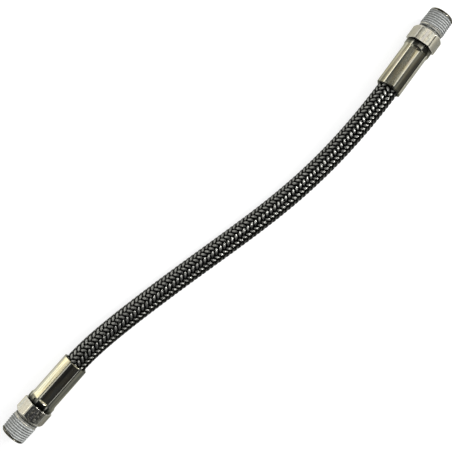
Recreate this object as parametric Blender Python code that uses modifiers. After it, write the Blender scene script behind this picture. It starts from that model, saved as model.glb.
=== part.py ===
"""Flexible steel hose: a short braided hose with a male pipe thread at each end, lying on a flat surface.

Each end is a hexagon nipple whose barbed tail goes into the hose, and a steel ferrule crimped over the
braid. The hose is a smooth liner inside a sleeve of woven steel wire. Everything is in metres, with +Z up
and +X from the first thread end to the second. The hose rests on z = 0: on its two hexagons, and on the
underside of its middle.
"""

import math

import bmesh
import bpy
import numpy as np
from mathutils import Matrix, Vector

# Gap between two pieces that touch on the real hose.
CLEARANCE = 0.0003

# The hose: a liner, and the sleeve of woven wire on it. The sleeve's wall is two crossing strands thick.
OVERALL_LENGTH = 0.2286  # from thread end to thread end, along the hose
LINER_BORE_RADIUS = 0.0024
LINER_WALL = 0.0007
SLEEVE_WALL = 0.00085
SQUEEZE = 0.0003  # how much the crimp presses the sleeve in

# The nipple: a taper pipe thread, a plain collar, the hexagon, and the barbed tail inside the hose.
THREAD_END_RADIUS = 0.004995  # over the crests, at the small end
THREAD_TAPER = 1 / 16  # on the diameter
THREAD_LENGTH = 0.0076
THREAD_CHAMFER = 0.0006
COLLAR_RADIUS = 0.00485
COLLAR_LENGTH = 0.0015
HEXAGON_ACROSS_FLATS = 0.01111
HEXAGON_LENGTH = 0.0058
HEXAGON_CHAMFER_RADIUS = 0.0054  # where the 45 degree chamfer on the thread side starts
BARB_HEIGHT = 0.0003
BARBS = 4
TAIL_WALL = 0.0004  # under the barbs
TAIL_SETBACK = 0.0026  # from the ferrule's mouth to the end of the tail
COUNTERSINK = 0.0008  # at the thread end of the bore

# The ferrule: a plain shoulder next to the hexagon, then eight long flats pressed in by the crimping die.
FERRULE_LENGTH = 0.0204
FERRULE_WALL = 0.00075  # at the flats
RIDGE_HEIGHT = 0.0002  # of the rounded ridges left between the flats
SHOULDER_HEIGHT = 0.0003  # of the shoulder above the ridges
SHOULDER_LENGTH = 0.0017
SHOULDER_ROUNDING = 0.0005
RUN_OUT = 0.0011  # length over which the flats rise to the shoulder
LIP_HEIGHT = 0.0006  # of the inner lip that grips the nipple's neck
LIP_LENGTH = 0.0015
FLARE_LENGTH = 0.0025  # of the mouth, where the sleeve widens to its free size
MOUTH_ROUNDING = 0.0002
FLATS = 8

# How it lies. Headings are in degrees from the line between the two thread ends, at equal steps along the
# free hose from one ferrule's mouth to the other. Rolls are in degrees round the fitting's own axis.
HEADINGS = (4.3, -6.4, -8.2, -7.9, -3.3, 3.5, 9.3)
SETTLING_LENGTH = 0.055  # from a ferrule's mouth to where the hose meets the surface
FIRST_HEXAGON_ROLL = 12.9
FIRST_FERRULE_ROLL = -15.2
SECOND_HEXAGON_ROLL = 10.0
SECOND_FERRULE_ROLL = -7.0

# How finely round shapes are drawn.
TURNED_STEPS = 48
HOSE_BEVEL_RESOLUTION = 4
HOSE_POINT_SPACING = 0.0085
ROUTE_STEPS = 1200

# Sizes that follow from those above.
LINER_RADIUS = LINER_BORE_RADIUS + LINER_WALL
SLEEVE_BORE_RADIUS = LINER_RADIUS + CLEARANCE
HOSE_RADIUS = SLEEVE_BORE_RADIUS + SLEEVE_WALL
SQUEEZED_RADIUS = HOSE_RADIUS - SQUEEZE

CHAMBER_RADIUS = SQUEEZED_RADIUS + CLEARANCE
MOUTH_RADIUS = HOSE_RADIUS + CLEARANCE
FLAT_RADIUS = CHAMBER_RADIUS + FERRULE_WALL
RIDGE_RADIUS = FLAT_RADIUS + RIDGE_HEIGHT
SHOULDER_RADIUS = RIDGE_RADIUS + SHOULDER_HEIGHT
LIP_RADIUS = CHAMBER_RADIUS - LIP_HEIGHT

NECK_RADIUS = LIP_RADIUS - CLEARANCE
BARB_RADIUS = LINER_BORE_RADIUS - CLEARANCE
ROOT_RADIUS = BARB_RADIUS - BARB_HEIGHT
BORE_RADIUS = ROOT_RADIUS - TAIL_WALL
THREAD_TOP_RADIUS = THREAD_END_RADIUS + THREAD_TAPER / 2 * THREAD_LENGTH
HEXAGON_CORNER_RADIUS = HEXAGON_ACROSS_FLATS / 2 / math.cos(math.pi / 6)

# Places along a fitting, from its thread end towards the hose.
HEXAGON_START = THREAD_LENGTH + COLLAR_LENGTH
HEXAGON_END = HEXAGON_START + HEXAGON_LENGTH
FERRULE_START = HEXAGON_END + CLEARANCE
LIP_END = FERRULE_START + LIP_LENGTH
HOSE_START = LIP_END + CLEARANCE
SHOULDER_END = FERRULE_START + SHOULDER_LENGTH
FLATS_START = SHOULDER_END + RUN_OUT
FERRULE_END = FERRULE_START + FERRULE_LENGTH
FLARE_START = FERRULE_END - FLARE_LENGTH
TAIL_END = FERRULE_END - TAIL_SETBACK


def smooth_step(t):
    t = np.clip(t, 0, 1)
    return t * t * (3 - 2 * t)


def axis_height(hexagon_roll):
    """Height of a fitting's axis when the lowest part of it lies on the surface."""
    off_flat = abs((hexagon_roll + 30) % 60 - 30)
    lowest_corner = HEXAGON_CORNER_RADIUS * math.cos(math.radians(30 - off_flat))
    return max(lowest_corner, SHOULDER_RADIUS, THREAD_TOP_RADIUS, HOSE_RADIUS)


def hose_route():
    """The centreline from thread end to thread end: its distances along the hose, and its points."""
    arc = np.linspace(0, OVERALL_LENGTH, ROUTE_STEPS + 1)
    free_length = OVERALL_LENGTH - 2 * FERRULE_END
    share = np.clip((arc - FERRULE_END) / free_length, 0, 1)
    stations = np.linspace(0, 1, len(HEADINGS))
    curve = np.polyfit(stations, HEADINGS, len(HEADINGS) - 1)
    heading = np.radians(np.polyval(curve, share))

    from_first = smooth_step((arc - FERRULE_END) / SETTLING_LENGTH)
    from_second = smooth_step((OVERALL_LENGTH - arc - FERRULE_END) / SETTLING_LENGTH)
    height = (
        HOSE_RADIUS
        + (axis_height(FIRST_HEXAGON_ROLL) - HOSE_RADIUS) * (1 - from_first)
        + (axis_height(SECOND_HEXAGON_ROLL) - HOSE_RADIUS) * (1 - from_second)
    )

    level = np.sqrt(np.diff(arc) ** 2 - np.diff(height) ** 2)
    middle = (heading[1:] + heading[:-1]) / 2
    x = np.concatenate([[0], np.cumsum(level * np.cos(middle))])
    y = np.concatenate([[0], np.cumsum(level * np.sin(middle))])
    swing = math.atan2(y[-1], x[-1])
    along = x * math.cos(swing) + y * math.sin(swing)
    across = y * math.cos(swing) - x * math.sin(swing)
    return arc, np.column_stack([along - along[-1] / 2, across, height])


def point_at(route, distance):
    arc, points = route
    return Vector([float(np.interp(distance, arc, column)) for column in points.T])


def material(name, colour, roughness, metallic):
    made = bpy.data.materials.new(name)
    made.use_nodes = True
    shader = made.node_tree.nodes["Principled BSDF"]
    shader.inputs["Base Color"].default_value = (*colour, 1)
    shader.inputs["Roughness"].default_value = roughness
    shader.inputs["Metallic"].default_value = metallic
    return made


def turned(name, profile, collection, steps=TURNED_STEPS):
    """A shape turned round Z. Its profile is (radius, height), down the outer side and up the inner."""
    mesh = bpy.data.meshes.new(name)
    edges = [(i, (i + 1) % len(profile)) for i in range(len(profile))]
    if profile[0][0] == 0:  # a solid shape: the axis itself needs no edge
        edges.pop()
    mesh.from_pydata([(radius, 0, height) for radius, height in profile], edges, [])
    obj = bpy.data.objects.new(name, mesh)
    collection.objects.link(obj)
    screw = obj.modifiers.new("turn", "SCREW")
    screw.axis = "Z"
    screw.angle = math.tau
    screw.steps = screw.render_steps = steps
    screw.use_merge_vertices = True
    screw.merge_threshold = 0.000001
    return obj


def prism(name, sides, corner_radius, bottom, top, collection):
    """A regular prism round Z, with a flat side facing +X."""
    made = bmesh.new()
    bmesh.ops.create_cone(
        made,
        cap_ends=True,
        segments=sides,
        radius1=corner_radius,
        radius2=corner_radius,
        depth=top - bottom,
        matrix=Matrix.Translation((0, 0, (bottom + top) / 2)),
    )
    mesh = bpy.data.meshes.new(name)
    made.to_mesh(mesh)
    made.free()
    obj = bpy.data.objects.new(name, mesh)
    collection.objects.link(obj)
    return obj


def combine(obj, other, operation):
    boolean = obj.modifiers.new(operation.lower(), "BOOLEAN")
    boolean.operation = operation
    boolean.solver = "EXACT"
    boolean.object = other


def as_cutter(obj):
    obj.hide_render = True
    obj.display_type = "WIRE"
    return obj


def finished_mesh(obj, name):
    """The object's mesh with its modifiers done, shaded smooth apart from its real edges."""
    graph = bpy.context.evaluated_depsgraph_get()
    graph.update()
    mesh = bpy.data.meshes.new_from_object(obj.evaluated_get(graph))
    mesh.name = name
    mesh.shade_smooth()
    mesh.set_sharp_from_angle(angle=math.radians(30))
    return mesh


def nipple_mesh(cutters):
    """Thread, collar, hexagon, neck and barbed tail in one piece, bored right through."""
    pitch = (TAIL_END - LIP_END) / BARBS
    profile = [(0, TAIL_END)]
    for barb in range(BARBS):
        top = TAIL_END - barb * pitch
        profile += [(ROOT_RADIUS, top), (BARB_RADIUS, top - 0.8 * pitch), (ROOT_RADIUS, top - 0.86 * pitch)]
    middle = (HEXAGON_START + HEXAGON_END) / 2
    profile += [
        (ROOT_RADIUS, LIP_END),
        (NECK_RADIUS, LIP_END),
        (NECK_RADIUS, middle),
        (COLLAR_RADIUS, middle),
        (COLLAR_RADIUS, THREAD_LENGTH),
        (THREAD_TOP_RADIUS, THREAD_LENGTH - (THREAD_TOP_RADIUS - COLLAR_RADIUS)),
        (THREAD_END_RADIUS, THREAD_CHAMFER),
        (THREAD_END_RADIUS - THREAD_CHAMFER, 0),
        (0, 0),
    ]
    body = turned("nipple_body", profile, cutters)

    hexagon = prism("hexagon", 6, HEXAGON_CORNER_RADIUS, HEXAGON_START, HEXAGON_END, cutters)
    reach = HEXAGON_CORNER_RADIUS + HEXAGON_LENGTH
    past = HEXAGON_LENGTH / 4
    chamfer = turned(
        "hexagon_chamfer",
        [
            (0, HEXAGON_END + reach),
            (reach, HEXAGON_END + reach),
            (reach, HEXAGON_START + reach - HEXAGON_CHAMFER_RADIUS),
            (HEXAGON_CHAMFER_RADIUS - past, HEXAGON_START - past),
            (0, HEXAGON_START - past),
        ],
        cutters,
    )
    combine(hexagon, as_cutter(chamfer), "INTERSECT")

    bore = turned(
        "nipple_bore",
        [
            (0, TAIL_END + past),
            (BORE_RADIUS, TAIL_END + past),
            (BORE_RADIUS, COUNTERSINK),
            (BORE_RADIUS + COUNTERSINK + past, -past),
            (0, -past),
        ],
        cutters,
    )
    combine(body, as_cutter(hexagon), "UNION")
    combine(body, as_cutter(bore), "DIFFERENCE")
    return finished_mesh(body, "nipple")


def ferrule_mesh(cutters):
    """The crimped shell: a turned ring, cut down to eight flats past its shoulder."""
    round_steps = 4
    shoulder_corner = [
        (
            SHOULDER_RADIUS - SHOULDER_ROUNDING * (1 - math.cos(angle)),
            FERRULE_START + SHOULDER_ROUNDING * (1 - math.sin(angle)),
        )
        for angle in (math.pi / 2 * i / round_steps for i in range(round_steps + 1))
    ]
    profile = [
        (MOUTH_RADIUS, FERRULE_END),
        (FLAT_RADIUS - MOUTH_ROUNDING, FERRULE_END),
        (RIDGE_RADIUS, FERRULE_END - MOUTH_ROUNDING - RIDGE_HEIGHT),
        (RIDGE_RADIUS, FLATS_START),
        (SHOULDER_RADIUS, SHOULDER_END),
        *shoulder_corner,
        (LIP_RADIUS, FERRULE_START),
        (LIP_RADIUS, LIP_END),
        (CHAMBER_RADIUS, LIP_END),
        (CHAMBER_RADIUS, FLARE_START),
    ]
    ring = turned("ferrule_ring", profile, cutters)

    to_corner = 1 / math.cos(math.pi / FLATS)
    past = FERRULE_LENGTH / 10
    die = turned(
        "ferrule_die",
        [
            (0, FERRULE_END + past),
            (FLAT_RADIUS * to_corner, FERRULE_END + past),
            (FLAT_RADIUS * to_corner, FLATS_START),
            ((SHOULDER_RADIUS + RIDGE_HEIGHT) * to_corner, SHOULDER_END),
            ((SHOULDER_RADIUS + RIDGE_HEIGHT) * to_corner, FERRULE_START - past),
            (0, FERRULE_START - past),
        ],
        cutters,
        steps=FLATS,
    )
    combine(ring, as_cutter(die), "INTERSECT")
    return finished_mesh(ring, "ferrule")


def tube(name, route, stations, collection):
    """A solid rod along the hose. Each station is (distance along the hose, radius)."""
    curve = bpy.data.curves.new(name, "CURVE")
    curve.dimensions = "3D"
    curve.bevel_depth = 1
    curve.bevel_resolution = HOSE_BEVEL_RESOLUTION
    curve.use_fill_caps = True
    spline = curve.splines.new("POLY")
    spline.points.add(len(stations) - 1)
    for point, (distance, radius) in zip(spline.points, stations):
        point.co = (*point_at(route, distance), 1)
        point.radius = radius
    drawn = bpy.data.objects.new(name, curve)
    collection.objects.link(drawn)

    graph = bpy.context.evaluated_depsgraph_get()
    graph.update()
    mesh = bpy.data.meshes.new_from_object(drawn.evaluated_get(graph))
    bpy.data.objects.remove(drawn)
    weld(mesh)
    obj = bpy.data.objects.new(name, mesh)
    collection.objects.link(obj)
    return obj


def weld(mesh):
    """Joins a rod's caps to its side."""
    edited = bmesh.new()
    edited.from_mesh(mesh)
    bmesh.ops.remove_doubles(edited, verts=edited.verts, dist=0.000001)
    edited.to_mesh(mesh)
    edited.free()


def along_hose(start, end):
    """Distances from start to end, with one at each ferrule's flare and mouth."""
    count = round((OVERALL_LENGTH - 2 * FERRULE_END) / HOSE_POINT_SPACING)
    free = np.linspace(FERRULE_END, OVERALL_LENGTH - FERRULE_END, count + 1)
    return [start, FLARE_START, *map(float, free), OVERALL_LENGTH - FLARE_START, end]


def sleeve_radius(distance):
    from_end = min(distance, OVERALL_LENGTH - distance)
    widened = np.clip((from_end - FLARE_START) / FLARE_LENGTH, 0, 1)
    return SQUEEZED_RADIUS + SQUEEZE * float(widened)


def hose_layer(name, route, outer_radius, bore_radius, cutters):
    """One layer of the hose, as a tube with its own bore. outer_radius gives the radius at a distance."""
    start, end = HOSE_START, OVERALL_LENGTH - HOSE_START
    stations = along_hose(start, end)
    rod = tube(name + "_rod", route, [(d, outer_radius(d)) for d in stations], cutters)
    past = HOSE_START / 10
    bored = [start - past, *stations[1:-1], end + past]
    bore = tube(name + "_bore", route, [(d, bore_radius) for d in bored], cutters)
    combine(rod, as_cutter(bore), "DIFFERENCE")
    return finished_mesh(rod, name)


def place(name, mesh, look, parent, collection, roll=0):
    obj = bpy.data.objects.new(name, mesh)
    mesh.materials.clear()
    mesh.materials.append(look)
    collection.objects.link(obj)
    obj.parent = parent
    obj.rotation_euler = (0, 0, math.radians(roll))
    return obj


def fitting_frame(name, route, distance, inwards, parent, collection):
    """An empty at a thread end. Its Z runs along the fitting towards the hose, and its X points up."""
    empty = bpy.data.objects.new(name, None)
    empty.empty_display_size = HEXAGON_ACROSS_FLATS
    collection.objects.link(empty)
    origin = point_at(route, distance)
    axis = (point_at(route, inwards) - origin).normalized()
    side = axis.cross(Vector((0, 0, 1))).normalized()
    turn = Matrix((side.cross(axis), side, axis)).transposed()
    empty.parent = parent
    empty.location = origin
    empty.rotation_euler = turn.to_euler()
    return empty


def centre_on_surface(root, standing):
    """Puts the middle of the fittings' box over the origin, and their lowest point on z = 0."""
    bpy.context.view_layer.update()
    corners = np.array([obj.matrix_world @ vertex.co for obj in standing for vertex in obj.data.vertices])
    low, high = corners.min(axis=0), corners.max(axis=0)
    root.location = (-(low[0] + high[0]) / 2, -(low[1] + high[1]) / 2, -low[2])
    bpy.context.view_layer.update()


def main():
    for obj in list(bpy.data.objects):
        bpy.data.objects.remove(obj, do_unlink=True)
    hose = bpy.data.collections.new("flexible_steel_hose")
    cutters = bpy.data.collections.new("cutters")
    cutters.hide_render = True
    for collection in (hose, cutters):
        bpy.context.scene.collection.children.link(collection)

    plated = material("yellow_plated_steel", (0.62, 0.58, 0.42), 0.22, 1.0)
    stainless = material("stainless_wire", (0.50, 0.50, 0.48), 0.30, 1.0)
    black = material("black_liner", (0.02, 0.02, 0.02), 0.5, 0.0)

    route = hose_route()
    root = bpy.data.objects.new("hose_frame", None)
    hose.objects.link(root)
    first = fitting_frame("first_fitting", route, 0, HEXAGON_END, root, hose)
    second = fitting_frame(
        "second_fitting", route, OVERALL_LENGTH, OVERALL_LENGTH - HEXAGON_END, root, hose
    )

    nipple, ferrule = nipple_mesh(cutters), ferrule_mesh(cutters)
    standing = [
        place("hex_nipple_1", nipple, plated, first, hose, FIRST_HEXAGON_ROLL),
        place("crimp_ferrule_1", ferrule, plated, first, hose, FIRST_FERRULE_ROLL),
        place("hex_nipple_2", nipple, plated, second, hose, SECOND_HEXAGON_ROLL),
        place("crimp_ferrule_2", ferrule, plated, second, hose, SECOND_FERRULE_ROLL),
    ]
    liner = hose_layer("inner_liner", route, lambda d: LINER_RADIUS, LINER_BORE_RADIUS, cutters)
    sleeve = hose_layer("braided_sleeve", route, sleeve_radius, SLEEVE_BORE_RADIUS, cutters)
    place("inner_liner", liner, black, root, hose)
    place("braided_sleeve", sleeve, stainless, root, hose)
    for obj in list(cutters.objects):
        bpy.data.objects.remove(obj, do_unlink=True)
    centre_on_surface(root, standing)


main()
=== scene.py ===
"""The looks of the flexible steel hose: woven wire, crimped ferrules and threaded nipples, seen from above.

Everything is in metres, in the frame of the solids. The route and the sizes repeat those of the part.
"""

import math

import bpy
import numpy as np
from mathutils import Matrix, Vector


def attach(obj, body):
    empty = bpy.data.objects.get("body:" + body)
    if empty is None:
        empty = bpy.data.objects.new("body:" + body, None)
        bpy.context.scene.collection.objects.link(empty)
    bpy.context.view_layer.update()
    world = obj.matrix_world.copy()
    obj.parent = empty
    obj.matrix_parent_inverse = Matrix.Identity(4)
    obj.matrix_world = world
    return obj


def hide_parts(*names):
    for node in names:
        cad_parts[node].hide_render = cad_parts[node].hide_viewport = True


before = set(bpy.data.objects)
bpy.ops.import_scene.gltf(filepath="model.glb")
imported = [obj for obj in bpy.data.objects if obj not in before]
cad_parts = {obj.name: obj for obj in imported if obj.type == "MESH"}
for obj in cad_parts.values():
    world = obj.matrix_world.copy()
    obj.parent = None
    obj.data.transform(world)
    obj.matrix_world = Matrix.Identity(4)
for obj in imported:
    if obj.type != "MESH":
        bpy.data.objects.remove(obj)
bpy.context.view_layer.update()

# The camera, as the photograph was taken.
IMAGE_SIZE = 452
FOCAL_PIXELS = 980
TARGET = Vector((-0.0024, 0.00156, 0.005))
CAMERA_DISTANCE = 0.3701
CAMERA_TILT = math.radians(3.5)
CAMERA_TILT_TOWARDS = math.radians(143)
IMAGE_UP = 0.7972

# The route, as in the part.
OVERALL_LENGTH = 0.2286
FERRULE_END = 0.0356
FLARE_START = 0.0331
FLARE_LENGTH = 0.0025
HEADINGS = (4.3, -6.4, -8.2, -7.9, -3.3, 3.5, 9.3)
SETTLING_LENGTH = 0.055
HOSE_RADIUS = 0.00425
SQUEEZE = 0.0003
FIRST_HEIGHT = 0.0061309
SECOND_HEIGHT = 0.0060276
FIRST_HEXAGON_ROLL = 12.9
FIRST_FERRULE_ROLL = -15.2
SECOND_HEXAGON_ROLL = 10.0
SECOND_FERRULE_ROLL = -7.0
SHIFT = (-0.00019, 0.001526)

# The fittings, as in the part.
THREAD_END_RADIUS = 0.004995
THREAD_LENGTH = 0.0076
THREAD_CHAMFER = 0.0006
THREAD_PITCH = 0.0254 / 27
THREAD_TAPER = 1 / 16  # on the diameter
COLLAR_RADIUS = 0.00485
BORE_RADIUS = 0.0014
COUNTERSINK = 0.0008
HEXAGON_START = 0.0091
HEXAGON_END = 0.0149
HEXAGON_FLAT = 0.005555
HEXAGON_CHAMFER_RADIUS = 0.0054
NECK_RADIUS = 0.00335
FERRULE_START = 0.0152
SHOULDER_END = 0.0169
FLATS_START = 0.0180
FLATS = 8
FLAT_RADIUS = 0.0050
SHOULDER_RADIUS = 0.0055
SHOULDER_ROUNDING = 0.0005
CHAMBER_RADIUS = 0.00425  # inside the ferrule

# What only the looks have: the cut thread and its sealant, the rounding of edges, and the floor.
SHARP_METAL = 32  # degrees between faces, past which a metal edge is sharp
SHARP_WIRE = 80
THREAD_DEPTH = 0.00062
THREAD_RUN_OUT = 0.0010
GROOVE_SHARE = 0.42  # of a pitch, at half depth
FLANK_STEEPNESS = 1.6
CREST_WEAR = 0.00003
COLLAR_BLEND = 0.0006  # length over which the last crest meets the collar
FILLED = 0.45  # how full of sealant the grooves are, on average
FILLED_VARIES = 0.3
FILLED_HEIGHT = 0.65  # share of the depth that a full groove loses
SEALANT_START = 0.0011
SEALANT_END = 0.0073
RAGGED_START = 0.00015  # how far the sealant's two edges waver
RAGGED_END = 0.00025
BARE_END = 0.0020  # before this, thread that the sealant leaves bare is dark
SMEAR_START = 0.0068
COLLAR_BEAD = 0.0080
COLLAR_GROOVE = 0.00842
SMEAR = 0.4  # how much sealant is smeared on the collar
HEXAGON_SMEAR = 0.12
HEXAGON_CORNER_ROUNDING = 0.0002
BEVEL = 0.00007  # of the hexagon's edges
WORN_WIDTH = 0.0002  # beside the hexagon's edges
RIDGE_ROUNDING = 0.00019
RISE_START = FLATS_START + 0.0006  # where the flats start to rise to the shoulder
RISE_LENGTH = 0.0014
RISE_HEIGHT = 0.00065
SHOULDER_BLEND = 0.00003
MOUTH_ROUNDING = 0.0003
DENTS = 0.000008
FLOOR_REACH = 6.0
FLOOR_GLOW = 0.72

# How the two fittings are darkened. near is the sign of a fitting's own Y on its side towards the scene's
# -Y.
# The next two are how much painted shade darkens its near and its far side, and the last how dark collar and
# shoulder are, with painted shade on the ferrule's near side.
DARKENING = (
    {"near": 1, "near_side_shade": 1.0, "far_side_shade": 0.0, "darker_collar_and_shoulder": 0.0},
    {"near": -1, "near_side_shade": 0.8, "far_side_shade": 0.3, "darker_collar_and_shoulder": 0.75},
)

# The braid: twelve strands each way round, over two and under two, each of five wires.
STRANDS = 12
WIRES = 5
LEAD = 0.0219
STRAND_SHARE = 0.74  # of a strand's room that its wires fill
STRAND_CROWN = 0.00015  # how much higher its middle wire is than its outer ones
WIRE_RADIUS = 0.000102
WAVE = 0.00024  # how far a strand goes over and under its middle radius
TUCKED_IN = 0.0004  # how far the strands run on into each ferrule, past its flare
HOSE_NEAR_SHADE = 0.74  # painted shade on the -Y side, at the first fitting
HOSE_SHADE_FALL = 0.16  # how much less of it there is at the second
# Painted shade at the hose's +Y edge.
HOSE_FAR_SHADE = 0.35
SAMPLES_PER_CROSSING = 2.5
# How far the weave is turned round the hose, in degrees, at distances along it.
WEAVE_TURN_AT = (0.036, 0.058, 0.104, 0.173, 0.193)
WEAVE_TURN = (-19.5, -17.0, -7.5, -3.5, -3.0)


def smooth_step(t):
    t = np.clip(t, 0, 1)
    return t * t * (3 - 2 * t)


def hose_route():
    """The centreline from thread end to thread end: distances along the hose, and points."""
    arc = np.linspace(0, OVERALL_LENGTH, 1201)
    share = np.clip((arc - FERRULE_END) / (OVERALL_LENGTH - 2 * FERRULE_END), 0, 1)
    curve = np.polyfit(np.linspace(0, 1, len(HEADINGS)), HEADINGS, len(HEADINGS) - 1)
    heading = np.radians(np.polyval(curve, share))
    from_first = smooth_step((arc - FERRULE_END) / SETTLING_LENGTH)
    from_second = smooth_step((OVERALL_LENGTH - arc - FERRULE_END) / SETTLING_LENGTH)
    height = (
        HOSE_RADIUS
        + (FIRST_HEIGHT - HOSE_RADIUS) * (1 - from_first)
        + (SECOND_HEIGHT - HOSE_RADIUS) * (1 - from_second)
    )
    level = np.sqrt(np.diff(arc) ** 2 - np.diff(height) ** 2)
    middle = (heading[1:] + heading[:-1]) / 2
    x = np.concatenate([[0], np.cumsum(level * np.cos(middle))])
    y = np.concatenate([[0], np.cumsum(level * np.sin(middle))])
    swing = math.atan2(y[-1], x[-1])
    along = x * math.cos(swing) + y * math.sin(swing)
    across = y * math.cos(swing) - x * math.sin(swing)
    points = np.column_stack([along - along[-1] / 2 + SHIFT[0], across + SHIFT[1], height])
    return arc, points


ARC, POINTS = hose_route()
TANGENTS = np.gradient(POINTS, ARC, axis=0)
TANGENTS /= np.linalg.norm(TANGENTS, axis=1)[:, None]


def along_route(distance):
    """Point, up and side vectors at distances along the hose, each as an array with a last axis of 3."""
    shape = np.shape(distance)
    flat = np.ravel(distance)
    point = np.stack([np.interp(flat, ARC, POINTS[:, k]) for k in range(3)], axis=1)
    tangent = np.stack([np.interp(flat, ARC, TANGENTS[:, k]) for k in range(3)], axis=1)
    tangent /= np.linalg.norm(tangent, axis=1)[:, None]
    side = np.cross(np.array([0.0, 0.0, 1.0]), tangent)
    side /= np.linalg.norm(side, axis=1)[:, None]
    up = np.cross(tangent, side)
    return [v.reshape(*shape, 3) for v in (point, up, side)]


def mesh_object(name, points, faces, smooth_angle, values, local=None):
    """A mesh with its faces looking outwards, and a number for each point under each name in values."""
    faces = np.asarray(faces, np.int32)
    corners = points[faces]
    around = np.cross(corners[:, 2] - corners[:, 0], corners[:, 3] - corners[:, 1])
    if (around * corners[:, 0]).sum() < 0:
        faces = faces[:, ::-1]
    mesh = bpy.data.meshes.new(name)
    mesh.vertices.add(len(points))
    mesh.vertices.foreach_set("co", np.ravel(points).astype(np.float32))
    mesh.loops.add(faces.size)
    mesh.loops.foreach_set("vertex_index", faces.ravel())
    mesh.polygons.add(len(faces))
    mesh.polygons.foreach_set("loop_start", np.arange(0, faces.size, faces.shape[1], dtype=np.int32))
    mesh.update(calc_edges=True)
    mesh.validate()
    mesh.shade_smooth()
    mesh.set_sharp_from_angle(angle=math.radians(smooth_angle))
    for key, data in values.items():
        layer = mesh.attributes.new(key, "FLOAT", "POINT")
        layer.data.foreach_set("value", np.ravel(data).astype(np.float32))
    if local is not None:
        layer = mesh.attributes.new("local", "FLOAT_VECTOR", "POINT")
        layer.data.foreach_set("vector", np.ravel(local).astype(np.float32))
    obj = bpy.data.objects.new(name, mesh)
    bpy.context.scene.collection.objects.link(obj)
    return obj


def closed_grid(rows, columns):
    """Faces of a grid that closes both ways. Rows run along the outline, columns round the axis."""
    i, j = np.meshgrid(np.arange(rows), np.arange(columns), indexing="ij")
    k, m = (i + 1) % rows, (j + 1) % columns
    return np.stack([i * columns + j, i * columns + m, k * columns + m, k * columns + j], -1).reshape(-1, 4)


def noise_field(x, y, z, seed, count=40, size=0.001):
    """A smooth field of numbers about -1 to 1, from waves in fixed directions. size is its grain."""
    chance = np.random.default_rng(seed)
    total = np.zeros(np.broadcast(x, y, z).shape)
    for _ in range(count):
        way = chance.normal(size=3)
        way *= chance.uniform(0.5, 1.5) / size / np.linalg.norm(way)
        total += np.sin(way[0] * x + way[1] * y + way[2] * z + chance.uniform(0, math.tau))
    return total / math.sqrt(count / 2) / 1.5


def fitting_matrix(distance, inwards):
    """A fitting's own frame: Z runs from the thread end towards the hose, and X points up."""
    here, there = (
        Vector([float(np.interp(d, ARC, POINTS[:, k])) for k in range(3)]) for d in (distance, inwards)
    )
    axis = (there - here).normalized()
    side = axis.cross(Vector((0, 0, 1))).normalized()
    turn = Matrix((side.cross(axis), side, axis)).transposed()
    return Matrix.Translation(here) @ turn.to_4x4()


FITTINGS = (
    fitting_matrix(0, HEXAGON_END),
    fitting_matrix(OVERALL_LENGTH, OVERALL_LENGTH - HEXAGON_END),
)


def turned_points(radii, heights, angles):
    """Grid points at radii and heights round a fitting's axis, rows by columns."""
    return np.stack([radii * np.cos(angles), radii * np.sin(angles), heights + 0 * radii], -1).reshape(-1, 3)


def in_row_frame(points, matrix):
    m = np.array(matrix)
    return points @ m[:3, :3].T + m[:3, 3]


def facing(angles, side, start, width):
    """0 until the sine of the angle, times side, reaches start, then rising smoothly to 1 over width."""
    return smooth_step((np.sin(angles) * side - start) / width)


def polygon_radius(angles, sides, flat, corner_rounding):
    """Distance from the axis to a regular polygon's side, with its corners slightly rounded."""
    part = math.tau / sides
    off = (angles + part / 2) % part - part / 2
    sharp = flat / np.cos(off)
    corner = flat / math.cos(part / 2)
    limit = corner - corner_rounding
    soft = corner_rounding * 0.9
    return sharp - soft * np.logaddexp(0, (sharp - limit) / soft * 3) / 3


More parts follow.
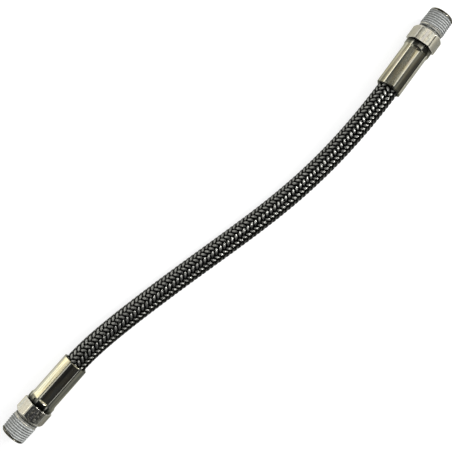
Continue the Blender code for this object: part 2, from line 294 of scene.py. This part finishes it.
def nipple(name, matrix, roll, seed, near, near_side_shade, far_side_shade, darker_collar_and_shoulder):
    """The threaded body, and the hexagon turned by roll. The last four set a fitting's painted shade and
    darkening.
    """
    steps, thread_rows, hexagon_steps = 144, 120, 192
    angles = np.linspace(0, math.tau, steps, endpoint=False)[None, :]
    z = np.linspace(0, THREAD_LENGTH, thread_rows)[:, None]
    x, y = THREAD_END_RADIUS * np.cos(angles), THREAD_END_RADIUS * np.sin(angles)
    wobble = noise_field(x, y, z, seed, size=0.0005)
    filled = FILLED + FILLED_VARIES * noise_field(x, y, z, seed + 1, size=0.0012)

    # The thread: grooves partly filled by the sealant, and a last crest that meets the collar.
    crest = THREAD_END_RADIUS + z * THREAD_TAPER / 2
    phase = (z / THREAD_PITCH - angles / math.tau) % 1
    tooth = np.clip(0.5 - FLANK_STEEPNESS * (np.abs(2 * phase - 1) - GROOVE_SHARE), 0, 1)
    fade = smooth_step((THREAD_LENGTH + 0.0002 - z) / THREAD_RUN_OUT)
    depth = THREAD_DEPTH * (1 - FILLED_HEIGHT * np.clip(filled, 0, 1))
    thread = crest - depth * tooth * fade - CREST_WEAR * (1 + wobble) * fade
    thread = np.minimum(thread, THREAD_END_RADIUS - THREAD_CHAMFER + z)
    settle = smooth_step((z - (THREAD_LENGTH - COLLAR_BLEND)) / COLLAR_BLEND)
    thread = thread * (1 - settle) + COLLAR_RADIUS * settle

    # Behind the thread: radius, height, smeared sealant, and painted shade in the collar's groove and beside
    # the hexagon.
    collar = [
        (COLLAR_RADIUS + 0.00004, COLLAR_BEAD - 0.0002, 1.5 * SMEAR, 0),
        (COLLAR_RADIUS + 0.00006, COLLAR_BEAD, 1.5 * SMEAR, 0),
        (COLLAR_RADIUS + 0.00004, COLLAR_BEAD + 0.0002, 1.5 * SMEAR, 0),
        (COLLAR_RADIUS - 0.00006, COLLAR_GROOVE - 0.00012, SMEAR, 1),
        (COLLAR_RADIUS - 0.00010, COLLAR_GROOVE, SMEAR, 1),
        (COLLAR_RADIUS - 0.00006, COLLAR_GROOVE + 0.00012, SMEAR, 1),
        (COLLAR_RADIUS, COLLAR_GROOVE + 0.00022, SMEAR, 0),
        (COLLAR_RADIUS, HEXAGON_START - 0.0003, SMEAR, 0),
        (COLLAR_RADIUS + 0.00006, HEXAGON_START - 0.00012, SMEAR, 0.6),
        (COLLAR_RADIUS + 0.0002, HEXAGON_START, 0, 0.9),
    ]
    # Under the hexagon, along the neck, and back through the bore: radius and height.
    inside = [
        (COLLAR_RADIUS, HEXAGON_START + 0.001), (NECK_RADIUS, HEXAGON_END - 0.001),
        (NECK_RADIUS, HEXAGON_END + 0.0016), (BORE_RADIUS, HEXAGON_END + 0.0016),
        (BORE_RADIUS, 0.0080), (BORE_RADIUS, 0.0030), (BORE_RADIUS, COUNTERSINK + 0.0001),
        (BORE_RADIUS + 0.00005, COUNTERSINK - 0.00005), (BORE_RADIUS + COUNTERSINK - 0.00005, 0.00005),
        (BORE_RADIUS + COUNTERSINK + 0.00005, 0), (0.0030, 0), (0.0038, 0),
        (THREAD_END_RADIUS - THREAD_CHAMFER - 0.00006, 0),
    ]
    plain = np.array(collar + [(*place, 0, 0) for place in inside])[:, :, None] + 0 * angles
    radii = np.concatenate([thread, plain[:, 0]])
    heights = np.concatenate([z + 0 * angles, plain[:, 1]])
    body_points = turned_points(radii, heights, angles + 0 * radii)

    ragged = wobble.mean(axis=0)
    sealed = (z > SEALANT_START + RAGGED_START * ragged) & (z < SEALANT_END + RAGGED_END * ragged)
    coat = np.where(sealed, 1.0, np.where(z > SMEAR_START, 0.45, 0.0))
    coat = np.concatenate([coat, plain[:, 2]])
    # Painted shade down in the thread's grooves, and a darker band on the bare thread near its end.
    shade_and_grime = np.where(sealed | (z > BARE_END), smooth_step(1.3 * tooth - 0.3) * fade, 0.75)
    shade_and_grime[0] = 0.9
    shade_and_grime = np.concatenate([shade_and_grime, plain[:, 3]])
    # Painted shade: thread and collar are darker and rougher on the near side.
    dull_and_shade = 0.7 * facing(angles, near, 0.1, 0.8) + 0 * radii
    # The smeared rows of the collar are dull all round.
    behind = dull_and_shade[thread_rows:]
    dull_and_shade[thread_rows:] = np.where(plain[:, 2] > 0, np.maximum(behind, 0.6 + 0.5 * darker_collar_and_shoulder), behind)

    # The hexagon, as a shell of its own round the body.
    a = np.linspace(0, math.tau, hexagon_steps, endpoint=False)[None, :]
    turned = a + math.radians(roll)
    flat = polygon_radius(a, 6, HEXAGON_FLAT, HEXAGON_CORNER_ROUNDING)
    cut = flat - HEXAGON_CHAMFER_RADIUS
    rim = [
        (NECK_RADIUS, HEXAGON_START + 0.0005),
        (COLLAR_RADIUS - 0.0001, HEXAGON_START),
        (HEXAGON_CHAMFER_RADIUS - BEVEL, HEXAGON_START),
        (HEXAGON_CHAMFER_RADIUS + BEVEL * 0.7, HEXAGON_START + BEVEL * 0.7),
        (flat - BEVEL, HEXAGON_START + cut - BEVEL),
        (flat, HEXAGON_START + cut + BEVEL),
        (flat, HEXAGON_START + cut + BEVEL + WORN_WIDTH),
        (flat, HEXAGON_START + 0.0025),
        (flat, HEXAGON_END - 0.0012),
        (flat, HEXAGON_END - BEVEL - WORN_WIDTH),
        (flat, HEXAGON_END - BEVEL),
        (flat - BEVEL, HEXAGON_END),
        (NECK_RADIUS, HEXAGON_END),
    ]
    # Rows of the rim: painted shade under and over the hexagon, the chamfer's foot, and the worn edges.
    shaded_rows, foot_rows, worn_rows = [0, 1, 12], [2, 3], [3, 4, 5, 10, 11]
    hex_r = np.concatenate([r + 0 * a for r, _ in rim])
    hex_z = np.concatenate([h + 0 * a for _, h in rim])
    hex_points = turned_points(hex_r, hex_z, turned + 0 * hex_r)
    to_corner = np.abs(a % (math.tau / 6) - math.tau / 12)
    hex_edge = np.exp(-((to_corner / 0.03) ** 2)) + 0 * hex_r
    hex_edge[worn_rows] = 1
    hex_shade = 0 * hex_r
    hex_shade[shaded_rows] = 1
    # Painted shade on the hexagon's near and far sides, and a darker, rougher chamfer foot.
    hex_dull_and_shade = 0.75 * near_side_shade * facing(turned, near, 0.35, 0.4) + 0 * hex_r
    hex_dull_and_shade += far_side_shade * facing(turned, -near, 0.3, 0.4)
    hex_dull_and_shade[foot_rows] = 0.6

    points = np.concatenate([body_points, hex_points])
    hex_faces = closed_grid(len(rim), hexagon_steps) + len(body_points)
    return mesh_object(
        name,
        in_row_frame(points, matrix),
        np.concatenate([closed_grid(len(radii), steps), hex_faces]),
        SHARP_METAL,
        {
            "coat": np.concatenate([coat.ravel(), np.full(hex_r.size, HEXAGON_SMEAR)]),
            "edge": np.concatenate([np.zeros(radii.size), hex_edge.ravel()]),
            "shade_and_grime": np.concatenate([shade_and_grime.ravel(), hex_shade.ravel()]),
            "dull_and_shade": np.concatenate([dull_and_shade.ravel(), hex_dull_and_shade.ravel()]),
        },
        points,
    )


def ferrule(name, matrix, roll, seed, near, near_side_shade, far_side_shade, darker_collar_and_shoulder):
    """The crimped shell, turned by roll. The last four set a fitting's painted shade and darkening."""
    steps, corner_steps = 256, 6
    a = np.linspace(0, math.tau, steps, endpoint=False)[None, :]
    turned = a + math.radians(roll + 180 / FLATS)
    end = FERRULE_END

    # Outside, from the mouth to the shoulder, where the flats rise in a quarter round.
    heights = [end - inwards for inwards in (0.00002, 0.00012, MOUTH_ROUNDING, 0.001, 0.004, 0.008, 0.012)]
    heights += list(np.linspace(FLATS_START + 0.0012, SHOULDER_END - 0.0001, 26))
    heights += [FERRULE_START + 0.0012, FERRULE_START + 0.0008]
    z = np.array(heights)[:, None]
    rise = np.clip((RISE_START - z) / RISE_LENGTH, 0, 1)
    body = polygon_radius(a, FLATS, FLAT_RADIUS, RIDGE_ROUNDING) + RISE_HEIGHT * (1 - np.sqrt(1 - rise**2))
    radii = -SHOULDER_BLEND * np.logaddexp(-body / SHOULDER_BLEND, -SHOULDER_RADIUS / SHOULDER_BLEND)
    radii = radii - np.maximum(z - (end - MOUTH_ROUNDING), 0) ** 2 / MOUTH_ROUNDING
    radii = radii + DENTS * noise_field(radii * np.cos(a), radii * np.sin(a), z, seed, size=0.002)

    # Round the shoulder's corner, over the lip on the neck, and back through the chamber.
    turn = np.linspace(0, math.pi / 2, corner_steps + 1)
    corner_r = SHOULDER_RADIUS - SHOULDER_ROUNDING * (1 - np.cos(turn))
    corner_z = FERRULE_START + SHOULDER_ROUNDING * (1 - np.sin(turn))
    inside = [
        (NECK_RADIUS + 0.0002, FERRULE_START), (NECK_RADIUS + 0.00005, FERRULE_START + 0.0001),
        (NECK_RADIUS + 0.00005, FERRULE_START + 0.0015), (CHAMBER_RADIUS, FERRULE_START + 0.0016),
        (CHAMBER_RADIUS, FLARE_START), (CHAMBER_RADIUS + 0.00007, end - 0.0006),
        (CHAMBER_RADIUS + 0.00015, end - 0.00015), (CHAMBER_RADIUS + 0.00025, end - 0.00001),
    ]
    plain = np.array(list(zip(corner_r, corner_z)) + inside)[:, :, None] + 0 * a
    all_r = np.concatenate([radii, plain[:, 0]])
    all_z = np.concatenate([z + 0 * a, plain[:, 1]])

    to_ridge = np.abs(a % (math.tau / FLATS) - math.pi / FLATS)
    ridge = np.exp(-((to_ridge / 0.05) ** 2)) + 0 * all_r
    ridge[:2] = 0
    shoulder = smooth_step((FLATS_START - 0.0002 - all_z) / 0.0006)
    # Painted shade on the near side of the shoulder.
    painted_shade = darker_collar_and_shoulder * facing(turned, near, 0, 0.3) * shoulder
    # Painted shade at the mouth, and in the gap beside the hexagon.
    painted_shade[[0, 1, -1]] = 1
    outer = len(heights)
    painted_shade[outer - 2] = np.maximum(painted_shade[outer - 2], 0.45)
    painted_shade[outer - 1] = np.maximum(painted_shade[outer - 1], 0.9)
    painted_shade[outer : outer + corner_steps + 2] = 1
    # Painted shade on the ferrule's near and far sides, and a darker, duller shoulder all round.
    dull_and_shade = near_side_shade * facing(turned, near, 0.3, 0.3) + far_side_shade * facing(turned, -near, 0.3, 0.3) + 0 * all_r
    dull_and_shade = np.maximum(dull_and_shade, 0.9 * shoulder)
    points = turned_points(all_r, all_z, turned + 0 * all_r)
    return mesh_object(
        name,
        in_row_frame(points, matrix),
        closed_grid(len(all_r), steps),
        SHARP_METAL,
        {"edge": ridge, "coat": 0 * all_r, "shade_and_grime": painted_shade, "dull_and_shade": dull_and_shade},
        points,
    )


def weave(turn):
    """Height of a strand, -1 to 1, where turn counts the crossings: over at 0 and 1, under at 2 and 3."""
    return np.tanh(1.2 * np.cos(math.pi / 2 * (turn - 0.5))) / math.tanh(1.2)


def sleeve_radius(distance):
    from_end = np.minimum(distance, OVERALL_LENGTH - distance)
    widened = np.clip((from_end - FLARE_START) / FLARE_LENGTH, 0, 1)
    return HOSE_RADIUS - SQUEEZE * (1 - widened)


def braid(name, way, seed):
    """The twelve strands that turn one way. way is 1 or -1."""
    chance = np.random.default_rng(seed)
    per_turn = 2 * STRANDS
    start, end = FLARE_START - TUCKED_IN, OVERALL_LENGTH - FLARE_START + TUCKED_IN
    crossings = (end - start) / LEAD * per_turn
    samples = int(crossings * SAMPLES_PER_CROSSING)

    # Across a strand: a valley, then two shoulders for each wire, and a flat underside.
    across, lift = [], []
    for wire in range(WIRES):
        across += [wire, wire + 0.25, wire + 0.75]
        lift += [0.12 if wire else 0.0, 0.87, 0.87]
    across = np.array(across + [WIRES, WIRES - 0.4, 0.4]) / WIRES - 0.5
    lift = np.array(lift + [0.0, -0.8, -0.8]) * WIRE_RADIUS - STRAND_CROWN * (2 * across) ** 2
    columns = len(across)

    points, faces, wires, depth, side_shade = [], [], [], [], []
    for strand in range(STRANDS):
        beta = np.linspace(0, crossings, samples)[:, None]
        drift = sum(
            chance.uniform(0.006, 0.016) * np.sin(beta * chance.uniform(0.05, 0.7) + chance.uniform(0, 7))
            for _ in range(4)
        )
        breadth = STRAND_SHARE * (1 + 0.03 * np.sin(beta * 0.37 + chance.uniform(0, 7)))
        delta = across[None, :] * breadth + drift
        here = strand + delta
        other = strand + beta
        # Places in the weave: both counts in strand spacings, seen as if unrolled.
        distance = start + LEAD / per_turn * (other - here)
        turned = np.radians(np.interp(distance, WEAVE_TURN_AT, WEAVE_TURN))
        theta = way * math.pi / STRANDS * (here + other) + turned
        count = 2 * strand + beta
        level = way * weave(way * count)
        middle = sleeve_radius(distance) - WIRE_RADIUS - WAVE
        loose = 1 + 0.12 * np.sin(beta * 0.9 + chance.uniform(0, 7)) * (level < 0)
        radius = middle + WAVE * level * loose + lift[None, :]
        centre, up, side = along_route(distance)
        p = centre + radius[..., None] * (np.cos(theta)[..., None] * up + np.sin(theta)[..., None] * side)
        base = strand * samples * columns
        i, j = np.meshgrid(np.arange(samples - 1), np.arange(columns), indexing="ij")
        m = (j + 1) % columns
        quad = [i * columns + j, i * columns + m, (i + 1) * columns + m, (i + 1) * columns + j]
        if way < 0:
            quad = quad[::-1]
        faces.append(np.stack(quad, -1).reshape(-1, 4) + base)
        points.append(p.reshape(-1, 3))
        # A number for each wire, its height in the weave, and painted shade on the -Y side, with a little at
        # the +Y edge too.
        number = strand * 7.3 + np.floor((across + 0.5) * WIRES) * 1.7
        raised = (1 + level) / 2 - 0.35 * (2 * across[None, :]) ** 2
        near_shade_here = HOSE_NEAR_SHADE - HOSE_SHADE_FALL * distance / OVERALL_LENGTH
        shade_here = near_shade_here * facing(theta, -1, 0.2, 0.45) + HOSE_FAR_SHADE * facing(theta, 1, 0.7, 0.25)
        for store, value in ((wires, number), (depth, raised), (side_shade, shade_here)):
            store.append(np.broadcast_to(value, radius.shape).ravel())
    return mesh_object(
        name,
        np.concatenate(points),
        np.concatenate(faces),
        SHARP_WIRE,
        {"wire": np.concatenate(wires), "height": np.concatenate(depth), "side_shade": np.concatenate(side_shade)},
    )


class Nodes:
    """Short ways to make and join shader nodes."""

    def __init__(self, name):
        self.material = bpy.data.materials.new(name)
        self.material.use_nodes = True
        self.tree = self.material.node_tree
        self.shader = self.tree.nodes["Principled BSDF"]

    def add(self, kind, **values):
        node = self.tree.nodes.new(kind)
        for key, value in values.items():
            setattr(node, key, value)
        return node

    def link(self, out, into):
        self.tree.links.new(out, into)

    def coordinates(self):
        return self.add("ShaderNodeTexCoord").outputs["Object"]

    def drawn_out(self, share):
        """The fitting's own coordinates, where detail is longer along it, by 1 / share."""
        mapping = self.add("ShaderNodeMapping")
        mapping.inputs["Scale"].default_value = (1, 1, share)
        local = self.add("ShaderNodeAttribute", attribute_name="local")
        self.link(local.outputs["Vector"], mapping.inputs["Vector"])
        return mapping.outputs["Vector"]

    def attribute(self, name):
        return self.add("ShaderNodeAttribute", attribute_name=name).outputs["Fac"]

    def noise(self, scale, detail=4, roughness=0.5, vector=None):
        node = self.add("ShaderNodeTexNoise")
        node.inputs["Scale"].default_value = scale
        node.inputs["Detail"].default_value = detail
        node.inputs["Roughness"].default_value = roughness
        self.link(vector or self.coordinates(), node.inputs["Vector"])
        return node.outputs["Fac"]

    def ramp(self, factor, *stops):
        node = self.add("ShaderNodeValToRGB")
        elements = node.color_ramp.elements
        while len(elements) < len(stops):
            elements.new(0.5)
        for element, (place, colour) in zip(elements, stops):
            element.position = place
            element.color = (*colour, 1) if hasattr(colour, "__len__") else (colour, colour, colour, 1)
        self.link(factor, node.inputs["Fac"])
        return node.outputs["Color"]

    def mix(self, factor, first, second, blend="MIX"):
        node = self.add("ShaderNodeMix", data_type="RGBA", blend_type=blend)
        for value, socket in ((factor, node.inputs[0]), (first, node.inputs[6]), (second, node.inputs[7])):
            if hasattr(value, "is_linked"):
                self.link(value, socket)
            elif hasattr(value, "__len__"):
                socket.default_value = (*value, 1)
            else:
                socket.default_value = value
        return node.outputs[2]

    def maths(self, operation, first, second=0.0, clamp=False):
        node = self.add("ShaderNodeMath", operation=operation, use_clamp=clamp)
        for value, socket in ((first, node.inputs[0]), (second, node.inputs[1])):
            if hasattr(value, "is_linked"):
                self.link(value, socket)
            else:
                socket.default_value = value
        return node.outputs[0]

    def bump(self, height, distance, strength=1.0, under=None):
        node = self.add("ShaderNodeBump")
        node.inputs["Distance"].default_value = distance
        node.inputs["Strength"].default_value = strength
        self.link(height, node.inputs["Height"])
        if under is not None:
            self.link(under, node.inputs["Normal"])
        return node.outputs["Normal"]

    def set(self, name, value):
        socket = self.shader.inputs[name]
        if hasattr(value, "is_linked"):
            self.link(value, socket)
        else:
            socket.default_value = value


def plated_look(name, line_depth, paleness, matt):
    """Yellow passivated zinc on steel, with matt grey sealant on the threads.

    line_depth is for drawn lines, paleness takes the yellow out, and matt makes dull places rougher.
    """
    n = Nodes(name)
    tint = n.ramp(
        n.noise(620, 4, 0.55, n.drawn_out(0.12)),
        (0.28, (0.46, 0.48, 0.38)),
        (0.44, (0.57, 0.55, 0.42)),
        (0.56, (0.60, 0.53, 0.33)),
        (0.66, (0.56, 0.50, 0.42)),
        (0.80, (0.50, 0.50, 0.45)),
    )
    specks = n.ramp(n.noise(2600, 6, 0.7), (0.32, 0.72), (0.5, 1.0))
    metal = n.mix(1.0, n.mix(paleness, tint, (0.56, 0.545, 0.50)), specks, "MULTIPLY")
    lines = n.ramp(
        n.noise(520, 5, 0.62, n.drawn_out(0.06)),
        (0.38, 1 - line_depth),
        (0.50, 1 - line_depth / 4),
        (0.60, 1.0),
    )
    metal = n.mix(1.0, metal, lines, "MULTIPLY")
    uneven = n.ramp(n.noise(640, 4, 0.6, n.drawn_out(0.05)), (0.38, 1.0), (0.60, 0.84))
    # This attribute darkens the metal: painted shade on one side of each fitting, and dull places.
    stain_and_shade = n.maths("MULTIPLY", n.attribute("dull_and_shade"), uneven, True)
    metal = n.mix(stain_and_shade, metal, (0.070, 0.074, 0.064))
    worn = n.maths("MULTIPLY", n.attribute("edge"), n.noise(900, 3), True)
    metal = n.mix(worn, metal, (0.72, 0.70, 0.62))
    # Nearly black where the mesh marks painted shade in grooves, gaps and corners.
    metal = n.mix(n.maths("MULTIPLY", n.attribute("shade_and_grime"), 0.95, True), metal, (0.02, 0.02, 0.018))
    # A power leaves full and no coat as they are, and makes a thin smear patchy.
    blotches = n.ramp(n.noise(1100, 5, 0.6), (0.36, 0.0), (0.64, 1.0))
    thinness = n.maths("ADD", n.maths("MULTIPLY", blotches, 2.4), 0.6)
    coat = n.maths("POWER", n.attribute("coat"), thinness, True)
    patches = n.ramp(
        n.noise(700, 5, 0.6),
        (0.30, (0.31, 0.32, 0.31)),
        (0.52, (0.39, 0.40, 0.39)),
        (0.75, (0.55, 0.56, 0.55)),
    )
    # The sealant, too, is darker with painted shade in the grooves.
    patches = n.mix(n.maths("MULTIPLY", n.attribute("shade_and_grime"), 0.56), patches, (0.08, 0.08, 0.075))
    n.set("Base Color", n.mix(coat, metal, patches))
    n.set("Metallic", n.maths("SUBTRACT", 1.0, coat))
    shine = n.ramp(n.noise(800, 5, 0.6, n.drawn_out(0.2)), (0.3, 0.08), (0.7, 0.20))
    shine = n.maths("ADD", shine, n.maths("MULTIPLY", n.attribute("dull_and_shade"), matt))
    n.set("Roughness", n.mix(coat, shine, (0.72, 0.72, 0.72)))
    n.set("Specular Tint", (0.62, 0.62, 0.56, 1))
    drawn = n.bump(n.noise(3400, 3, 0.6, n.drawn_out(0.03)), 0.000005, 1.0)
    fine = n.bump(n.noise(5200, 4), 0.000005, 1.0, drawn)
    rough = n.bump(n.maths("MULTIPLY", n.noise(3000, 5, 0.65), coat), 0.00009, 1.0, fine)
    n.set("Normal", rough)
    return n.material


def wire_look():
    """Bright drawn stainless wire, with painted shade down between the strands and on the hose's -Y side."""
    n = Nodes("stainless_wire")
    wire = n.attribute("wire")
    grey = n.ramp(n.noise(1500, 3), (0.3, (0.42, 0.42, 0.39)), (0.7, (0.62, 0.62, 0.575)))
    shade = n.maths("FRACT", n.maths("MULTIPLY", n.maths("SINE", wire), 43.7))
    each = n.ramp(shade, (0.0, 0.78), (1.0, 1.0))
    metal = n.mix(1.0, grey, each, "MULTIPLY")
    # Painted shade on the low wires between the strands.
    shade_between = n.ramp(n.attribute("height"), (0.58, 0.012), (0.98, 1.0))
    shaded = n.mix(1.0, metal, shade_between, "MULTIPLY")
    # Painted shade on the hose's -Y side, and a little at its +Y edge.
    n.set("Base Color", n.mix(n.attribute("side_shade"), shaded, (0.012, 0.012, 0.010)))
    n.set("Metallic", 1.0)
    n.set("Roughness", n.ramp(n.noise(900, 3), (0.3, 0.26), (0.7, 0.34)))
    n.set("Specular Tint", (0.3, 0.3, 0.3, 1))
    n.set("Normal", n.bump(n.noise(9000, 2), 0.000002, 1.0))
    return n.material


def liner_look():
    n = Nodes("black_liner")
    n.set("Base Color", n.ramp(n.noise(800, 3), (0.3, (0.010, 0.010, 0.010)), (0.7, (0.022, 0.022, 0.021))))
    n.set("Roughness", n.ramp(n.noise(1200, 3), (0.3, 0.5), (0.7, 0.7)))
    n.set("Normal", n.bump(n.noise(4000, 3), 0.00002, 1.0))
    return n.material


# The camera.
toward = Vector(
    (
        math.sin(CAMERA_TILT) * math.cos(CAMERA_TILT_TOWARDS),
        math.sin(CAMERA_TILT) * math.sin(CAMERA_TILT_TOWARDS),
        math.cos(CAMERA_TILT),
    )
)
right = (-toward).cross(Vector((math.cos(IMAGE_UP), math.sin(IMAGE_UP), 0))).normalized()
up = right.cross(-toward)
camera = bpy.data.objects.new("camera", bpy.data.cameras.new("camera"))
camera.data.sensor_width = 36
camera.data.lens = FOCAL_PIXELS / IMAGE_SIZE * 36
camera.data.clip_start = 0.01
camera.matrix_world = Matrix.Translation(TARGET + CAMERA_DISTANCE * toward) @ Matrix(
    (right, up, toward)
).transposed().to_4x4()
bpy.context.scene.collection.objects.link(camera)
bpy.context.scene.camera = camera

# The pieces.
nipple_finish = plated_look("yellow_zinc_nipple", 0.12, 0.5, 0.6)
ferrule_finish = plated_look("yellow_zinc_ferrule", 0.66, 0.0, 0.0)
wires, black = wire_look(), liner_look()
pieces = {}
rolls = ((FIRST_HEXAGON_ROLL, FIRST_FERRULE_ROLL), (SECOND_HEXAGON_ROLL, SECOND_FERRULE_ROLL))
for index, (matrix, (hexagon_roll, ferrule_roll), darkening) in enumerate(zip(FITTINGS, rolls, DARKENING), start=1):
    made = nipple(f"threaded_nipple_{index}", matrix, hexagon_roll, 10 * index, **darkening)
    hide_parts(f"hex_nipple_{index}")
    pieces[f"nipple_{index}"] = made
    made = ferrule(f"crimped_ferrule_{index}", matrix, ferrule_roll, 10 * index + 5, **darkening)
    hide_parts(f"crimp_ferrule_{index}")
    pieces[f"ferrule_{index}"] = made
    pieces[f"nipple_{index}"].data.materials.append(nipple_finish)
    pieces[f"ferrule_{index}"].data.materials.append(ferrule_finish)

for name, way, seed in (("braid_right_hand", 1, 3), ("braid_left_hand", -1, 4)):
    made = braid(name, way, seed)
    made.data.materials.append(wires)
    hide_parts("braided_sleeve")
    pieces[name] = made
for made in pieces.values():
    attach(made, "root")

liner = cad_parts["inner_liner"]
for slot in liner.material_slots:
    slot.material = black

on_route = np.linspace(FERRULE_END, OVERALL_LENGTH - FERRULE_END, 120)
path = along_route(on_route)[0]

# The floor, white to the camera and in reflections, with the object's own faint shadow.
floor_mesh = bpy.data.meshes.new("floor")
corners = [(x * FLOOR_REACH, y * FLOOR_REACH, 0) for x, y in ((-1, -1), (1, -1), (1, 1), (-1, 1))]
floor_mesh.from_pydata(corners, [], [(0, 1, 2, 3)])
floor = bpy.data.objects.new("floor", floor_mesh)
bpy.context.scene.collection.objects.link(floor)
n = Nodes("pale_floor")
n.set("Base Color", (0.36, 0.36, 0.36, 1))
n.set("Roughness", 1.0)
n.set("Specular IOR Level", 0.0)
rays = n.add("ShaderNodeLightPath")
seen = n.maths("ADD", rays.outputs["Is Camera Ray"], rays.outputs["Is Glossy Ray"], True)
seen = n.maths("ADD", seen, rays.outputs["Is Transmission Ray"], True)
n.set("Emission Color", (1, 1, 1, 1))
n.set("Emission Strength", n.maths("MULTIPLY", seen, FLOOR_GLOW))
floor.data.materials.append(n.material)

# The world: a dim room, darkest overhead.
world = bpy.data.worlds.new("room")
bpy.context.scene.world = world
world.use_nodes = True
tree = world.node_tree
background = tree.nodes["Background"]
place = tree.nodes.new("ShaderNodeTexCoord")
parts = tree.nodes.new("ShaderNodeSeparateXYZ")
tree.links.new(place.outputs["Generated"], parts.inputs[0])
ramp = tree.nodes.new("ShaderNodeValToRGB")
ramp.color_ramp.elements[0].position = 0.0
ramp.color_ramp.elements[0].color = (0.22, 0.23, 0.21, 1)
ramp.color_ramp.elements[1].position = 0.45
ramp.color_ramp.elements[1].color = (0.050, 0.053, 0.062, 1)
tree.links.new(parts.outputs["Z"], ramp.inputs["Fac"])
tree.links.new(ramp.outputs["Color"], background.inputs["Color"])
background.inputs["Strength"].default_value = 1.0


def softbox(name, place, look_at, width, height, level, colour=(1, 1, 1), in_reflections=True):
    """A flat lamp. level is how bright its face is, where 1 is white."""
    lamp = bpy.data.lights.new(name, "AREA")
    lamp.shape = "RECTANGLE"
    lamp.size, lamp.size_y = width, height
    lamp.energy = level * math.pi * width * height
    lamp.color = colour
    obj = bpy.data.objects.new(name, lamp)
    obj.location = place
    obj.rotation_euler = (Vector(look_at) - Vector(place)).to_track_quat("-Z", "Y").to_euler()
    obj.visible_glossy = in_reflections
    bpy.context.scene.collection.objects.link(obj)


softbox("window_light", (0.85, -0.05, 1.2), (0.85, -0.05, 0), 1.0, 1.1, 1.2, (1.0, 1.0, 0.98))
softbox("wall_light", (1.4, -0.5, 1.25), (1.4, -0.5, 0), 2.4, 5.0, 0.22)
softbox("rear_light", (-0.65, 1.15, 1.2), (-0.65, 1.15, 0), 1.5, 1.1, 0.8)
softbox("key_light", (1.7, -0.69, 0.9), (0, 0, 0), 0.55, 0.55, 46.0)
softbox("side_light", (-0.1, 1.3, 0.28), (-0.1, 0, 0.2), 2.6, 0.5, 2.05, (1.0, 0.99, 0.95))
softbox("edge_light", (-0.6, -2.0, 1.2), (-0.1, 0, 0), 0.8, 0.5, 1.0)
softbox("fill_light", (0.0, 0.0, 1.5), (0, 0, 0), 2.4, 2.4, 1.0, (1, 1, 1), False)

bpy.context.scene.view_settings.view_transform = "Standard"
